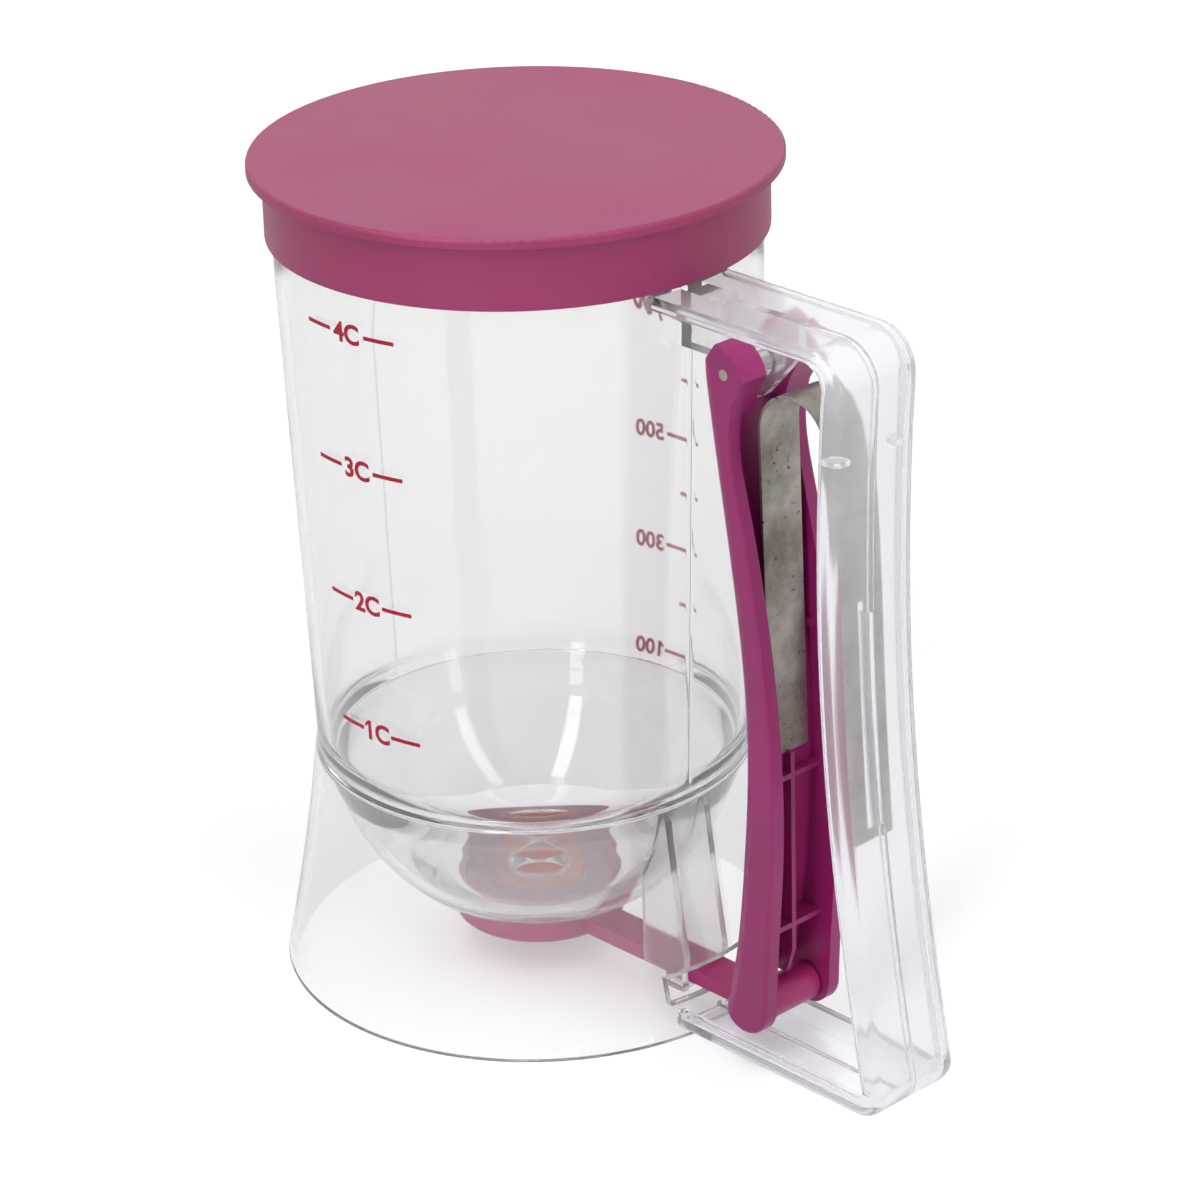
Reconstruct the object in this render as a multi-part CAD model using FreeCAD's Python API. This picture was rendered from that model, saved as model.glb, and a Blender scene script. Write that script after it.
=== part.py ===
import FreeCAD, Part
import math
import os

Vector = FreeCAD.Vector

# A hand-held batter dispenser: a clear tapered cup whose round bowl drains
# through a hole in its floor, on a flared skirt, with a channel-section grip.
# A trigger hung in the grip pulls a sliding valve from under the hole, a leaf
# spring pushes it back, and a loose cap lies on the rim.
# X points from the cup's axis to the grip, Z up from the table. Millimetres.

# Cup and skirt
cup_height = 186.9
rim_radius = 52.4
rim_band = 22.0          # straight band under the rim that the cap slips over
waist_height = 55.1
waist_radius = 48.7
base_radius = 58.1
cup_wall = 2.0
skirt_wall = 2.2
skirt_hollow = 0.7       # how far the flare sags inside a straight line
rim_round = 0.8

# Bowl and its outlet
ring_height = 4.1        # band at the waist that bowl and skirt hang from
bowl_bottom = 14.6
bowl_seat_radius = 21.9
bowl_shoulder = 2.9      # ledge from the ring's outside to the bowl's outside
bowl_wall = 2.2
bowl_floor = 5.4
dish_radius = 20.5
dish_slope = 3.2
outlet_radius = 7.0

# Cap
cap_radius = 57.2
cap_thickness = 2.2
cap_skirt_depth = 14.4
cap_skirt_wall = 1.3
cap_clearance = 0.3
cap_rest_gap = 0.2
cap_edge_round = 0.8

# Grip: a channel that opens inwards, all along its C
grip_width = 23.6
grip_wall = 2.0
grip_top_drop = 14.9     # top of the upper arm below the cup's rim
grip_foot_height = 2.2
top_arm_depth = 2.9
bar_depth = 5.2
foot_arm_depth = 5.0
grip_reach = 105.0       # back of the bar at its upper end
grip_waist = 103.7       # back of the bar at its slimmest
grip_heel = 116.0        # back of the bar at its heel
bar_swell = (2.2, 6.4)   # back of the bar beyond its slimmest, further down
bar_shares = (0.0, 0.28, 0.56, 0.78, 1.0)
top_corner_radius = 9.5
heel_corner_radius = 7.0
inner_corner_radius = 6.0
edge_round = 2.7
spine_width = 1.3
spine_height = 0.8
tongue_height = 2.6      # taller stretch of the spine, in the spring's slot
stop_tab_height = 1.2
stop_tab_depth = 3.0

# Hinge lug and pin
pivot_reach = 72.9
pivot_below_grip = 11.5
pin_radius = 1.2
pin_play = 0.05
lug_thickness = 6.0
lug_root_depth = 11.0    # from the arm's inside down
lug_root_back = 10.1     # the thick root ends this far before the pivot
lug_nose_back = 3.8
lug_nose_drop = 8.2      # lowest part of the web below the pivot
lug_web_thickness = 2.1
lug_reach = 11.1         # end of the web beyond the pivot
lug_end_rise = 4.6
lug_step = 2.6
lug_step_rise = 1.2
barrel_radius = 3.4
ear_play = 0.35          # each side, between the lug's barrel and an ear

# Trigger
trigger_width = 23.6
flange_thickness = 3.7
ear_thickness = 7.3
web_thickness = 1.8
trigger_bottom = 9.5
trigger_tip_radius = 6.4
trigger_tip_reach = 76.3
ear_radius = 5.2
ear_top = 6.1
ear_back = 5.3
ear_back_rise = 2.1
ear_peak_back = 2.3
ear_front_drop = 0.6
ear_crown = 3.2
ear_neck = 2.9
ear_neck_drop = 4.7
back_reaches = (-6.0, -4.5, -1.5, 2.3, 3.5, 2.1, -0.3)   # cup side, from the pivot
back_shares = (0.062, 0.127, 0.251, 0.436, 0.588, 0.759, 0.904)
front_reaches = (10.5, 12.3, 11.4, 8.1, 3.5, 1.0)        # grip side, from the pivot
front_shares = (0.898, 0.718, 0.526, 0.354, 0.203, 0.114)
back_round = 3.6
front_round = 0.9
web_clear_radius = 9.7
rib_thickness = 1.2
long_rib_reach = 80.2
long_rib_toe = 2.0
long_rib_toe_rise = 6.0
cross_rib_drops = (60.0, 92.5, 128.2)   # below the pivot
cross_rib_rise = 1.5
squeeze_angle = 7.9

# Leaf spring
spring_width = 11.4
spring_thickness = 0.6
bend_radius = 9.2
inner_leg_reach = 76.9
inner_leg_end_reach = 78.9
inner_leg_length = 74.0
bend_below_pivot = 12.5
outer_leg_knee = 30.0      # below the bend
outer_leg_length = 86.5
outer_leg_knee_gap = 3.2   # from the bar's back to the leg's middle
outer_leg_end_gap = 5.6
slot_width = 2.2
slot_margin = 2.0

# Sliding valve
valve_radius = 19.1
valve_base = 8.4
valve_plate = 2.6
valve_rim_width = 1.6
valve_rim_gap = 1.0        # under the bowl's seat
collar_width = 1.5
collar_height = 1.6
arm_width = 8.8
arm_base = 9.8
arm_thickness = 3.4
eye_radius = 4.3
eye_room = 1.4             # between the eye and the trigger's web above it
eye_side_play = 0.5
trunnion_radius = 2.4
trunnion_height = 14.8
trunnion_length = 1.5
trunnion_play = 0.35
trunnion_end_play = 0.4

# Silicone seal
seal_radius = 10.4
seal_seat_depth = 0.8
seal_lip_width = 1.8
seal_lip_height = 0.9
seal_gap = 0.25

# Guides for the valve, under the bowl
guide_thickness = 1.7
guide_play = 0.45
guide_reach = 39.8
guide_bottom = 11.6
lip_reach = 46.6
lip_drop = 0.6
lip_thickness = 1.3
lip_width = 2.4

# Window in the skirt for the valve's arm
window_width = 25.0
window_sill = 7.9
window_top = 14.1

fuse_tolerance = 0.01
far_out = 400.0

# Derived places
grip_top = cup_height - grip_top_drop
pivot_height = grip_top - pivot_below_grip
bend_height = pivot_height - bend_below_pivot
inner_leg_end_height = bend_height - inner_leg_length
outer_leg_knee_height = bend_height - outer_leg_knee
outer_leg_end_height = bend_height - outer_leg_length
cap_underside = cup_height + cap_rest_gap
cap_top = cap_underside + cap_thickness
ring_bottom = waist_height - ring_height
valve_travel = (pivot_height - trunnion_height) * math.sin(math.radians(squeeze_angle))
pivot_to_tip = trigger_tip_reach - pivot_reach
pivot_drop = pivot_height - trunnion_height
trunnion_drop = (math.hypot(pivot_to_tip + valve_travel, pivot_drop)
                 - math.hypot(pivot_to_tip, pivot_drop))
half_gap = trigger_width / 2 - flange_thickness
ear_gap = trigger_width / 2 - ear_thickness
arm_top = arm_base + arm_thickness
eye_gate = trunnion_height + eye_radius + eye_room
corner_share = 1 - math.cos(math.radians(45))


def at(x, z, y=0.0):
    return Vector(x, y, z)


def edge(a, b):
    return Part.LineSegment(a, b).toShape()


def arc(a, middle, b):
    return Part.Arc(a, middle, b).toShape()


def curve(points):
    spline = Part.BSplineCurve()
    spline.interpolate(points)
    return spline.toShape()


def face(edges):
    return Part.Face(Part.Wire(Part.__sortEdges__(edges)))


def polygon(points):
    ring = [at(x, z) for x, z in points]
    return Part.Face(Part.makePolygon(ring + ring[:1]))


def spin(profile):
    return profile.revolve(Vector(0, 0, 0), Vector(0, 0, 1), 360)


def plate(profile, width, middle=0.0):
    """A profile in the grip's plane, thickened evenly about Y = middle."""
    solid = profile.extrude(Vector(0, width, 0))
    solid.translate(Vector(0, middle - width / 2, 0))
    return solid


def rod(x, z, radius, y_from, y_to):
    return Part.makeCylinder(radius, y_to - y_from, Vector(x, y_from, z), Vector(0, 1, 0))


def block(x_from, x_to, y_from, y_to, z_from, z_to):
    size = (x_to - x_from, y_to - y_from, z_to - z_from)
    return Part.makeBox(*size, Vector(x_from, y_from, z_from))


def quarter(center_x, center_z, radius, start, end):
    """An arc in the grip's plane, angles in degrees from +X towards +Z."""
    def spot(angle):
        turn = math.radians(angle)
        return at(center_x + radius * math.cos(turn), center_z + radius * math.sin(turn))
    return arc(spot(start), spot((start + end) / 2), spot(end))


def cup_radius(z):
    """Outer radius of the cup above the waist."""
    band_start = cup_height - rim_band
    share = min(1.0, (z - waist_height) / (band_start - waist_height))
    return waist_radius + (rim_radius - waist_radius) * share


def skirt_radius(z):
    """Outer radius of the straight flare below the waist."""
    return base_radius + (waist_radius - base_radius) * z / waist_height


# Clear cup, bowl and skirt: one moulding, divided at its natural lines

def cup_envelope(shrink=0.0):
    band_start = cup_height - rim_band
    return spin(polygon([
        (0, waist_height), (waist_radius - shrink, waist_height),
        (rim_radius - shrink, band_start), (rim_radius - shrink, cup_height), (0, cup_height)]))


def make_cup():
    cup = cup_envelope().cut(cup_envelope(cup_wall))
    lip = [e for e in cup.Edges if abs(e.CenterOfMass.z - cup_height) < fuse_tolerance
           and abs(e.Curve.Radius - rim_radius) < cup_wall + fuse_tolerance]
    return cup.makeFillet(rim_round, lip)


def skirt_envelope(shrink=0.0):
    top = skirt_radius(ring_bottom) - shrink
    bottom = base_radius - shrink
    middle = (top + bottom) / 2 - skirt_hollow
    return spin(face([
        edge(at(0, 0), at(bottom, 0)),
        arc(at(bottom, 0), at(middle, ring_bottom / 2), at(top, ring_bottom)),
        edge(at(top, ring_bottom), at(0, ring_bottom)),
        edge(at(0, ring_bottom), at(0, 0))]))


def make_skirt():
    skirt = skirt_envelope().cut(skirt_envelope(skirt_wall))
    window = block(0, far_out, -window_width / 2, window_width / 2, window_sill, window_top)
    return skirt.cut(window)


def bowl_arc(radius_offset, z_from, z_to):
    """Arc of the bowl's wall from z_from down to z_to, with its two ends."""
    shoulder = waist_radius - bowl_shoulder
    rise = ring_bottom - bowl_bottom
    center = (shoulder ** 2 - bowl_seat_radius ** 2 + ring_bottom ** 2
              - bowl_bottom ** 2) / (2 * rise)
    radius = math.hypot(shoulder, ring_bottom - center) - radius_offset

    def spot(z):
        return at(math.sqrt(radius ** 2 - (z - center) ** 2), z)
    return arc(spot(z_from), spot((z_from + z_to) / 2), spot(z_to)), spot(z_from), spot(z_to)


def bowl_envelope():
    outer, top, bottom = bowl_arc(0, ring_bottom, bowl_bottom)
    return spin(face([
        outer,
        edge(bottom, at(0, bowl_bottom)),
        edge(at(0, bowl_bottom), at(0, ring_bottom)),
        edge(at(0, ring_bottom), top)]))


def make_bowl():
    floor = bowl_bottom + bowl_floor
    ledge = waist_height - bowl_wall
    outer, outer_top, outer_bottom = bowl_arc(0, ring_bottom, bowl_bottom)
    inner, inner_top, inner_bottom = bowl_arc(bowl_wall, ledge, floor + dish_slope)
    ring_out = at(waist_radius, waist_height)
    ring_in = at(waist_radius - cup_wall, waist_height)
    ring_under = at(skirt_radius(ring_bottom), ring_bottom)
    return spin(face([
        outer,
        edge(outer_top, ring_under),
        edge(ring_under, ring_out),
        edge(ring_out, ring_in),
        edge(ring_in, inner_top),
        inner,
        edge(inner_bottom, at(dish_radius, floor)),
        edge(at(dish_radius, floor), at(outlet_radius, floor)),
        edge(at(outlet_radius, floor), at(outlet_radius, bowl_bottom)),
        edge(at(outlet_radius, bowl_bottom), outer_bottom)]))


def make_guides():
    """Two plates beside the valve's arm, each with a lip that holds it up."""
    lip_top = arm_base - lip_drop
    lip_bottom = lip_top - lip_thickness
    wall_outline = polygon([
        (guide_reach, guide_bottom), (lip_reach, guide_bottom), (lip_reach, lip_bottom),
        (far_out, lip_bottom), (far_out, ring_bottom), (guide_reach, ring_bottom)])
    lip_outline = polygon([
        (lip_reach, lip_bottom), (far_out, lip_bottom), (far_out, lip_top), (lip_reach, lip_top)])
    inside = arm_width / 2 + guide_play
    room = skirt_envelope(skirt_wall).cut(bowl_envelope())
    plates = []
    for side in (-1, 1):
        wall = plate(wall_outline, guide_thickness, side * (inside + guide_thickness / 2))
        lip = plate(lip_outline, lip_width, side * (inside - lip_width / 2))
        plates.append(wall.fuse(lip).common(room))
    return Part.makeCompound([solid for part in plates for solid in part.Solids])


# Grip

def bar_back(inset=0.0):
    """Points down the back of the bar; each is moved in by the inset."""
    top = grip_top - top_corner_radius
    heel = grip_foot_height + heel_corner_radius
    reaches = (grip_reach, grip_waist, grip_waist + bar_swell[0],
               grip_waist + bar_swell[1], grip_heel)
    return [at(x - inset, top + (heel - top) * share)
            for x, share in zip(reaches, bar_shares)]


def grip_outline(inset, depth_top, depth_bar, depth_foot, corner):
    """Band along the C, from `inset` under its outside to the given depths."""
    top = grip_top - inset
    foot = grip_foot_height + inset
    back = bar_back(inset)
    inside = bar_back(depth_bar)
    upper, lower = back[0], back[-1]
    r_top = top - upper.z
    r_foot = lower.z - foot
    top_in = grip_top - depth_top
    foot_in = grip_foot_height + depth_foot
    in_top = at(inside[0].x, top_in - corner)
    in_foot = at(inside[-1].x, foot_in)
    return face([
        edge(at(0, top), at(upper.x - r_top, top)),
        arc(at(upper.x - r_top, top),
            at(upper.x - r_top * corner_share, top - r_top * corner_share), upper),
        curve(back),
        arc(lower, at(lower.x - r_foot * corner_share, foot + r_foot * corner_share),
            at(lower.x - r_foot, foot)),
        edge(at(lower.x - r_foot, foot), at(0, foot)),
        edge(at(0, foot), at(0, foot_in)),
        edge(at(0, foot_in), in_foot),
        curve([in_foot] + inside[-2:0:-1] + [in_top]),
        arc(in_top, at(in_top.x - corner * corner_share, top_in - corner * corner_share),
            at(in_top.x - corner, top_in)),
        edge(at(in_top.x - corner, top_in), at(0, top_in)),
        edge(at(0, top_in), at(0, top))])


def bar_inside(z):
    """Reach of the back wall's inner face at a height, by straight steps."""
    spots = bar_back(grip_wall)
    for high, low in zip(spots, spots[1:]):
        if low.z <= z <= high.z:
            share = (high.z - z) / (high.z - low.z)
            return high.x + (low.x - high.x) * share
    return spots[0].x if z > spots[0].z else spots[-1].x


def make_grip():
    outside = plate(grip_outline(0, top_arm_depth, bar_depth, foot_arm_depth,
                                 inner_corner_radius), grip_width)
    side = grip_width / 2
    rims = [e for e in outside.Edges
            if abs(abs(e.CenterOfMass.y) - side) < fuse_tolerance and on_back(e)]
    outside = outside.makeFillet(edge_round, rims)
    deep = max(bar_depth, foot_arm_depth) + top_arm_depth
    hollow = plate(grip_outline(grip_wall, top_arm_depth + deep, bar_depth + deep,
                                foot_arm_depth + deep, inner_corner_radius),
                   grip_width - 2 * grip_wall)
    grip = outside.cut(hollow)
    spine = plate(grip_outline(grip_wall - fuse_tolerance, grip_wall + spine_height,
                               grip_wall + spine_height, grip_wall + spine_height,
                               inner_corner_radius), spine_width)
    grip = grip.fuse([spine, make_tongue()] + make_stop_tabs())
    body = cup_envelope().fuse([skirt_envelope(), bowl_ring_envelope()])
    return grip.cut(body).removeSplitter()


def bowl_ring_envelope():
    return spin(polygon([
        (0, ring_bottom), (skirt_radius(ring_bottom), ring_bottom),
        (waist_radius, waist_height), (0, waist_height)]))


def on_back(e):
    """True for the C's outer edges, which are rounded over."""
    center = e.CenterOfMass
    inner_top = grip_top - top_arm_depth
    inner_foot = grip_foot_height + foot_arm_depth
    if center.z > inner_top + fuse_tolerance or center.z < inner_foot - fuse_tolerance:
        return True
    middle = sum(p.x for p in bar_back(bar_depth / 2)) / 5
    return center.x > middle and e.Length > bar_depth


def make_tongue():
    """The taller stretch of the spine, which stands in the spring's slot."""
    top = outer_leg_knee_height - slot_margin
    bottom = outer_leg_end_height + 2 * slot_margin
    steps = [bottom + (top - bottom) * i / 3 for i in range(4)]
    wall = [at(bar_inside(z) + grip_wall / 2, z) for z in steps]
    crest = [at(bar_inside(z) - tongue_height, z) for z in steps]
    outline = face([edge(a, b) for a, b in zip(wall, wall[1:])]
                   + [edge(a, b) for a, b in zip(crest, crest[1:])]
                   + [edge(wall[0], crest[0]), edge(wall[-1], crest[-1])])
    return plate(outline, spine_width)


def make_stop_tabs():
    """Tabs beside the spring's outer leg, just under its bend."""
    inner = spring_width / 2 + 1.0
    outer = grip_width / 2 - grip_wall / 2
    reach = bar_inside(bend_height) + grip_wall / 2
    tabs = []
    for side in (-1, 1):
        low, high = sorted((side * inner, side * outer))
        tabs.append(block(reach - stop_tab_depth - grip_wall / 2, reach, low, high,
                          bend_height, bend_height + stop_tab_height))
    return tabs


def make_lug():
    """Web under the upper arm that carries the trigger's pin."""
    ceiling = grip_top - grip_wall
    under = ceiling - lug_root_depth
    nose = pivot_height - lug_nose_drop
    end = pivot_reach + lug_reach
    root_end = pivot_reach - lug_root_back
    outline = polygon([
        (0, ceiling), (0, under), (root_end, under), (pivot_reach - lug_nose_back, nose),
        (pivot_reach, nose), (end - lug_step, pivot_height + lug_step_rise),
        (end, pivot_height + lug_end_rise), (end, ceiling)])
    web = plate(outline, lug_web_thickness)
    root = plate(polygon([(0, ceiling), (0, under), (root_end, under), (root_end, ceiling)]),
                 lug_thickness)
    barrel_half = ear_gap - ear_play
    barrel = rod(pivot_reach, pivot_height, barrel_radius, -barrel_half, barrel_half)
    lug = root.fuse([web, barrel])
    bore = rod(pivot_reach, pivot_height, pin_radius + pin_play, -grip_width, grip_width)
    spine = plate(grip_outline(0, grip_wall + spine_height, grip_wall + spine_height,
                               grip_wall + spine_height, inner_corner_radius), spine_width)
    return lug.cut(bore).cut(cup_envelope()).cut(spine).removeSplitter()


def make_pin():
    half = trigger_width / 2
    return rod(pivot_reach, pivot_height, pin_radius, -half, half)


# Trigger

def trigger_back(inset=0.0):
    """Cup side of the trigger, from under the ear to the tip."""
    low = at(trigger_tip_reach - trigger_tip_radius + inset, trigger_bottom + trigger_tip_radius)
    return flank(back_reaches, back_shares, inset) + [low]


def trigger_front():
    """Grip side of the trigger's flanges, from the tip to under the ear."""
    low = at(trigger_tip_reach + trigger_tip_radius, trigger_bottom + trigger_tip_radius)
    top = at(pivot_reach + ear_neck, pivot_height - ear_neck_drop)
    return [low] + flank(front_reaches, front_shares, 0.0) + [top]


def flank(reaches, shares, inset):
    """Points of one long side, at shares of the way down from the pivot to the tip."""
    drop = pivot_height - trunnion_height
    return [at(pivot_reach + reach + inset, pivot_height - share * drop)
            for reach, share in zip(reaches, shares)]


def make_trigger():
    back = trigger_back()
    front = trigger_front()
    ear_left = at(pivot_reach - ear_back, pivot_height + ear_back_rise)
    ear_peak = at(pivot_reach - ear_peak_back, pivot_height + ear_top)
    ear_right = at(pivot_reach + ear_radius, pivot_height - ear_front_drop)
    crown = at(pivot_reach + ear_crown, pivot_height + ear_crown)
    tip_middle = at(trigger_tip_reach, trigger_bottom)
    outline = face([
        curve(back),
        arc(back[-1], tip_middle, front[0]),
        curve(front),
        edge(front[-1], ear_right),
        arc(ear_right, crown, ear_peak),
        edge(ear_peak, ear_left),
        edge(ear_left, back[0])])
    solid = plate(outline, trigger_width)
    solid = round_sides(solid, back_round, False)
    solid = round_sides(solid, front_round, True)
    trigger = solid.cut(trigger_hollow())
    trigger = trigger.fuse(make_ribs())
    trigger = trigger.cut(rod(pivot_reach, pivot_height, pin_radius, -trigger_width, trigger_width))
    return trigger.cut(make_trunnion_slots()).removeSplitter()


def round_sides(solid, radius, on_front):
    """Rounds the two long edges on the grip side, or those on the cup side."""
    side = trigger_width / 2
    middle = trigger_tip_reach
    long_edges = [e for e in solid.Edges
                  if abs(abs(e.CenterOfMass.y) - side) < fuse_tolerance
                  and e.Length > trigger_width and (e.CenterOfMass.x > middle) == on_front]
    return solid.makeFillet(radius, long_edges)


def trigger_hollow():
    """The channel's inside, the gap between the ears and the arm's gate."""
    inner = trigger_back(web_thickness)
    top = inner[0]
    channel = plate(face([
        curve(inner),
        edge(inner[-1], at(inner[-1].x, 0)),
        edge(at(inner[-1].x, 0), at(far_out, 0)),
        edge(at(far_out, 0), at(far_out, top.z)),
        edge(at(far_out, top.z), top)]), 2 * half_gap)
    slot = block(0, far_out, -ear_gap, ear_gap, top.z - fuse_tolerance, far_out)
    sweep = rod(pivot_reach, pivot_height, web_clear_radius, -ear_gap, ear_gap)
    mouth = block(0, far_out, -half_gap, half_gap, 0, eye_gate)
    return channel.fuse([slot, sweep, mouth])


def web_face(z):
    """Reach of the web's inner face at a height, by straight steps."""
    spots = trigger_back(web_thickness)
    for high, low in zip(spots, spots[1:]):
        if low.z <= z <= high.z:
            return high.x + (low.x - high.x) * (high.z - z) / (high.z - low.z)
    return spots[-1].x


def make_ribs():
    gate = eye_gate + web_thickness / 8
    long_rib_top = inner_leg_end_height
    toe = long_rib_reach - long_rib_toe
    back = trigger_back(web_thickness / 2)
    spots = [p for p in back if gate < p.z < long_rib_top]
    root = [at(web_face(long_rib_top) - web_thickness / 2, long_rib_top)] + spots
    root.append(at(web_face(gate) - web_thickness / 2, gate))
    outline = face([edge(a, b) for a, b in zip(root, root[1:])] + [
        edge(root[-1], at(toe, gate)),
        edge(at(toe, gate), at(long_rib_reach, gate + long_rib_toe_rise)),
        edge(at(long_rib_reach, gate + long_rib_toe_rise), at(long_rib_reach, long_rib_top)),
        edge(at(long_rib_reach, long_rib_top), root[0])])
    ribs = [plate(outline, rib_thickness)]
    width = 2 * half_gap + 2 * front_round
    for drop in cross_rib_drops:
        height = pivot_height - drop
        start = web_face(height) - web_thickness / 2
        reach = long_rib_reach if height < long_rib_top else web_face(height) + cross_rib_rise
        if height > inner_leg_end_height:
            rail = (width - spring_width) / 2 - 1.0
            for side in (-1, 1):
                middle = side * (width - rail) / 2
                ribs.append(block(start, reach + cross_rib_rise, middle - rail / 2,
                                  middle + rail / 2, height, height + rib_thickness))
        else:
            ribs.append(block(start, reach, -width / 2, width / 2,
                              height, height + rib_thickness))
    return ribs


def make_trunnion_slots():
    """Blind slots inside the flanges, long enough for the trigger's swing."""
    radius = trunnion_radius + trunnion_play
    reach = trigger_tip_reach
    low = trunnion_height - trunnion_drop
    outer = half_gap + trunnion_length + trunnion_end_play
    cutters = []
    for z in (low, trunnion_height):
        cutters.append(rod(reach, z, radius, -outer, outer))
    cutters.append(block(reach - radius, reach + radius, -outer, outer, low, trunnion_height))
    return cutters[0].fuse(cutters[1:])


# Leaf spring

def leg_heights():
    """Heights down the outer leg, from its knee to its end."""
    steps = 3
    drop = outer_leg_knee_height - outer_leg_end_height
    return [outer_leg_knee_height - drop * i / steps for i in range(steps + 1)]


def leg_reach(z):
    """Reach of the outer leg's middle: it leans off the bar's back further down."""
    share = (outer_leg_knee_height - z) / (outer_leg_knee_height - outer_leg_end_height)
    gap = outer_leg_knee_gap + (outer_leg_end_gap - outer_leg_knee_gap) * share
    return bar_inside(z) + grip_wall - gap


def strip_band(offset):
    """Edges of one skin of the strip, from its free end to its held end."""
    lean = (inner_leg_reach - inner_leg_end_reach) / (bend_height - inner_leg_end_height)
    center = at(inner_leg_reach + bend_radius, bend_height)
    radius = bend_radius + offset
    knee_x = leg_reach(outer_leg_knee_height)
    tilt = math.atan(-lean)
    start_turn = math.pi - tilt
    end_turn = math.atan2(1, (bend_height - outer_leg_knee_height)
                          / (knee_x - center.x - bend_radius)) * 0.9
    rise = center + at(math.cos(start_turn), math.sin(start_turn)) * radius
    crest = center + at(0, 1) * radius
    fall = center + at(math.cos(end_turn), math.sin(end_turn)) * radius
    foot = rise + at(lean, 1) * (-(rise.z - inner_leg_end_height))
    down = [fall] + [at(leg_reach(z) + offset, z) for z in leg_heights()]
    spline = Part.BSplineCurve()
    spline.interpolate(Points=down, InitialTangent=at(math.sin(end_turn), -math.cos(end_turn)),
                       FinalTangent=down[-1] - down[-2])
    return [edge(foot, rise), arc(rise, crest, fall), spline.toShape()], foot, down[-1]


def make_leaf_spring():
    half = spring_thickness / 2
    outer, outer_foot, outer_end = strip_band(half)
    inner, inner_foot, inner_end = strip_band(-half)
    outline = face(outer + inner + [edge(outer_foot, inner_foot), edge(outer_end, inner_end)])
    strip = plate(outline, spring_width)
    slot = block(bend_radius + inner_leg_reach, far_out, -slot_width / 2, slot_width / 2,
                 outer_leg_end_height + slot_margin, outer_leg_knee_height)
    return strip.cut(slot)


# Sliding valve and its seal

def make_valve():
    plate_top = valve_base + valve_plate
    rim_top = bowl_bottom - valve_rim_gap
    inner = valve_radius - valve_rim_width
    collar = seal_radius + collar_width
    seat = plate_top - seal_seat_depth
    disc = spin(polygon([
        (0, valve_base), (valve_radius - 0.8, valve_base), (valve_radius, valve_base + 0.8),
        (valve_radius, rim_top), (inner, rim_top), (inner, plate_top), (collar, plate_top),
        (collar, plate_top + collar_height), (seal_radius, plate_top + collar_height),
        (seal_radius, seat), (0, seat)]))
    bar = block(inner, trigger_tip_reach, -arm_width / 2, arm_width / 2, arm_base, arm_top)
    eye_half = half_gap - eye_side_play
    eye = rod(trigger_tip_reach, trunnion_height, eye_radius, -eye_half, eye_half)
    trunnion_half = half_gap + trunnion_length
    trunnion = rod(trigger_tip_reach, trunnion_height, trunnion_radius,
                   -trunnion_half, trunnion_half)
    return disc.fuse([bar, eye, trunnion]).removeSplitter()


def make_seal():
    seat = valve_base + valve_plate - seal_seat_depth
    top = bowl_bottom - seal_gap
    flat = top - seal_lip_height
    return spin(polygon([
        (0, seat), (seal_radius, seat), (seal_radius, top), (seal_radius - seal_lip_width, top),
        (seal_radius - seal_lip_width - 0.6, flat), (0, flat)]))


def make_cap():
    inner = rim_radius + cap_clearance
    outer = inner + cap_skirt_wall
    mouth = cap_underside - cap_skirt_depth
    cap = spin(polygon([
        (0, cap_underside), (inner, cap_underside), (inner, mouth), (outer, mouth),
        (outer, cap_underside), (cap_radius, cap_underside), (cap_radius, cap_top), (0, cap_top)]))
    brim = [e for e in cap.Edges if abs(e.CenterOfMass.z - cap_top) < fuse_tolerance
            and abs(e.Curve.Radius - cap_radius) < fuse_tolerance]
    return cap.makeFillet(cap_edge_round, brim)


def main():
    pieces = {
        "measuring_cup": make_cup(),
        "batter_bowl": make_bowl(),
        "base_skirt": make_skirt(),
        "valve_guides": make_guides(),
        "grip_handle": make_grip(),
        "hinge_lug": make_lug(),
        "lid": make_cap(),
        "trigger": make_trigger(),
        "pivot_pin": make_pin(),
        "leaf_spring": make_leaf_spring(),
        "valve_slide": make_valve(),
        "valve_seal": make_seal(),
    }
    os.makedirs("parts", exist_ok=True)
    for name, shape in pieces.items():
        print(name, "solids", len(shape.Solids), "valid", shape.isValid(),
              "volume", round(shape.Volume, 1))
        shape.exportStep("parts/" + name + ".step")
    print("valve travel", round(valve_travel, 2))


main()
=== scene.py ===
import bpy
import bmesh
import math
from mathutils import Matrix, Vector


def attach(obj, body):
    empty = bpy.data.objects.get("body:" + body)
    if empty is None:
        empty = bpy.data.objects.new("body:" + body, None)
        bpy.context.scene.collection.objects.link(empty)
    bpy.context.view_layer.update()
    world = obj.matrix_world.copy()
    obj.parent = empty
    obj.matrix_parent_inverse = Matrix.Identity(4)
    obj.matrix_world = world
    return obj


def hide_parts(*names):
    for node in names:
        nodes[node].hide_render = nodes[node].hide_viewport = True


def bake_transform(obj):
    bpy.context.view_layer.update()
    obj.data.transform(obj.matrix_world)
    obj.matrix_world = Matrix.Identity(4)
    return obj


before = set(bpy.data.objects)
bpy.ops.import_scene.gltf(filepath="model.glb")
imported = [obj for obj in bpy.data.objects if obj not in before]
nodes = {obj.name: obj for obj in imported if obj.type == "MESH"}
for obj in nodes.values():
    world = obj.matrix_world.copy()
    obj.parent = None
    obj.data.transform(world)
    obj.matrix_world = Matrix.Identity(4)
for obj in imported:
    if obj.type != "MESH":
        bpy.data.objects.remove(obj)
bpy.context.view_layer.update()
mm = 0.001
print("frame loaded:", len(nodes), "CAD nodes")


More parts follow.
